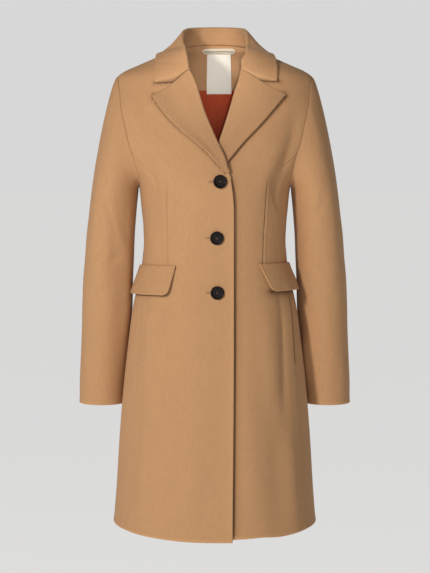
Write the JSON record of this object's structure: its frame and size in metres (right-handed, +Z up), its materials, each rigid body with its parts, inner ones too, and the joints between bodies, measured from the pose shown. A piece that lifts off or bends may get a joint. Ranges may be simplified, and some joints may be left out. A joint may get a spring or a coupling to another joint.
{
  "type": "wool coat",
  "caption": "Single-breasted wool coat with notched lapels, set-in sleeves, flap pockets and an A-line skirt, hollow as worn",
  "frame": {"origin": "centre of the neck base, level with the neck end of the shoulder seams, where the wearer's shoulders hold the coat", "axes": "+Z up along the coat, -Y out of the front, +X towards the wearer's left"},
  "size_m": [0.5194, 0.3249, 0.9507],
  "materials": {
    "wool": "brushed woollen coating with a short soft nap, camel",
    "satin": "smooth lining satin with a soft sheen, rust",
    "label": "close woven tape, cream",
    "buttons": "polished rim and satin centre, near-black brown"
  },
  "bodies": {
    "root": {"front_right": "wool", "side_right": "wool", "back_right": "wool", "sleeve_right": "wool", "lapel_right": "wool", "flap_right": "wool", "front_left": "wool", "side_left": "wool", "back_left": "wool", "sleeve_left": "wool", "lapel_left": "wool", "flap_left": "wool", "collar": "wool", "neck_facing": "wool", "lining": "satin", "neck_label": "label", "hanger_loop": "label", "button_top": "buttons", "button_middle": "buttons", "button_bottom": "buttons"}
  },
  "joints": []
}
